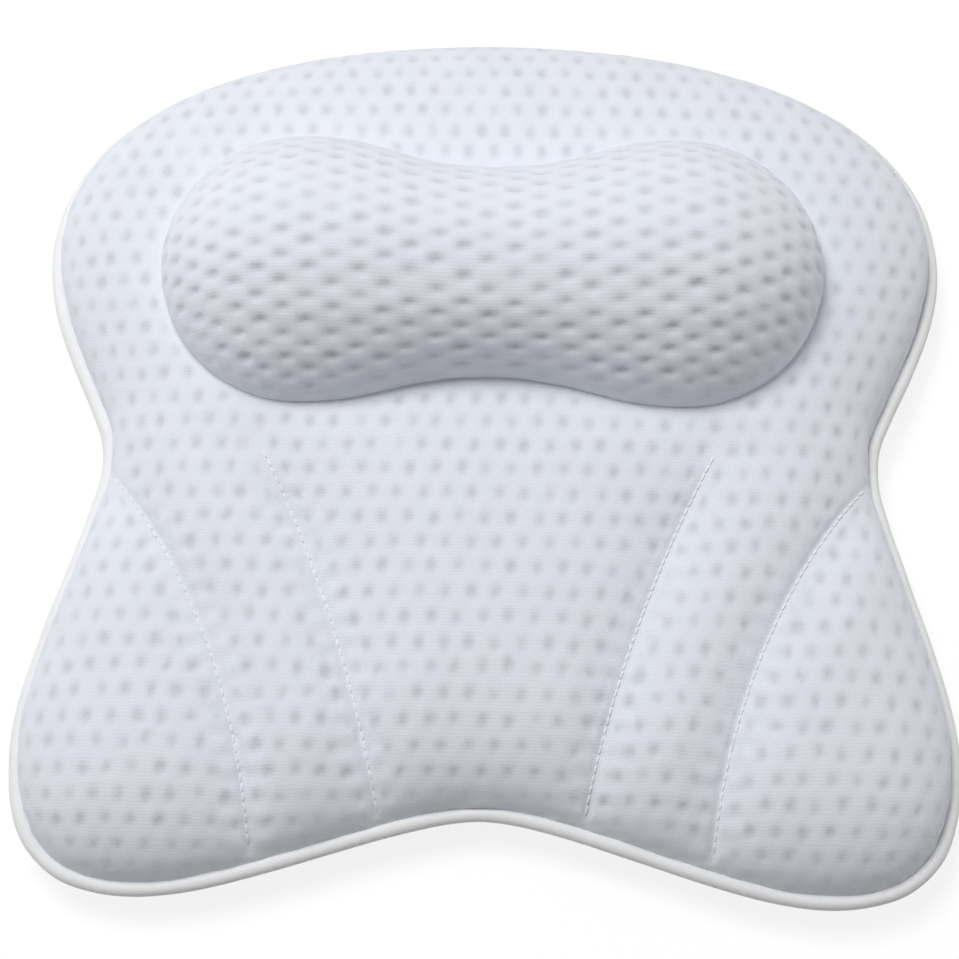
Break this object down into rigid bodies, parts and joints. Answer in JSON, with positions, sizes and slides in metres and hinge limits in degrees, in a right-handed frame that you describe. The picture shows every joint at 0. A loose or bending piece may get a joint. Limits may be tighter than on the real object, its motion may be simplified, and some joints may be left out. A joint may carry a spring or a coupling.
{
  "type": "bath pillow",
  "caption": "Butterfly-shaped bath pillow in white air mesh: a quilted pad with a raised neck roll and a piped edge, held to the tub by suction cups that turn in eyelets.",
  "frame": {"origin": "under the middle of the pillow, in the plane of the suction cups' lips", "axes": "lying face up: +X to the right and +Y towards the head end as the face is seen, +Z out of the face"},
  "size_m": [0.423, 0.4176, 0.1104],
  "materials": {
    "air_mesh": "matte",
    "foam": "matte",
    "fibre": "matte",
    "tape": "matte",
    "clear_vinyl": "gloss"
  },
  "bodies": {
    "pillow": {"face_cover": "air_mesh", "neck_roll_cover": "air_mesh", "neck_roll_core": "foam", "head_batt": "fibre", "centre_batt": "fibre", "left_band_batt": "fibre", "right_band_batt": "fibre", "left_wing_batt": "fibre", "right_wing_batt": "fibre", "base_foam": "foam", "back_cover": "air_mesh", "piping_tape": "tape", "piping_cord": "fibre", "cup_patch_head_left": "tape", "cup_patch_head_right": "tape", "cup_patch_waist_left": "tape", "cup_patch_waist_right": "tape", "cup_patch_wing_left": "tape", "cup_patch_wing_right": "tape"},
    "cup_head_left": {"suction_cup_head_left": "clear_vinyl"},
    "cup_head_right": {"suction_cup_head_right": "clear_vinyl"},
    "cup_waist_left": {"suction_cup_waist_left": "clear_vinyl"},
    "cup_waist_right": {"suction_cup_waist_right": "clear_vinyl"},
    "cup_wing_left": {"suction_cup_wing_left": "clear_vinyl"},
    "cup_wing_right": {"suction_cup_wing_right": "clear_vinyl"}
  },
  "joints": [
    {"name": "swivel_head_left", "type": "hinge", "parent": "pillow", "child": "cup_head_left", "pos_m": [-0.112, 0.118, 0.017], "axis": [0, 0, 1], "continuous": true},
    {"name": "swivel_head_right", "type": "hinge", "parent": "pillow", "child": "cup_head_right", "pos_m": [0.112, 0.118, 0.017], "axis": [0, 0, 1], "continuous": true},
    {"name": "swivel_waist_left", "type": "hinge", "parent": "pillow", "child": "cup_waist_left", "pos_m": [-0.116, -0.018, 0.017], "axis": [0, 0, 1], "continuous": true},
    {"name": "swivel_waist_right", "type": "hinge", "parent": "pillow", "child": "cup_waist_right", "pos_m": [0.116, -0.018, 0.017], "axis": [0, 0, 1], "continuous": true},
    {"name": "swivel_wing_left", "type": "hinge", "parent": "pillow", "child": "cup_wing_left", "pos_m": [-0.14, -0.14, 0.017], "axis": [0, 0, 1], "continuous": true},
    {"name": "swivel_wing_right", "type": "hinge", "parent": "pillow", "child": "cup_wing_right", "pos_m": [0.14, -0.14, 0.017], "axis": [0, 0, 1], "continuous": true}
  ]
}
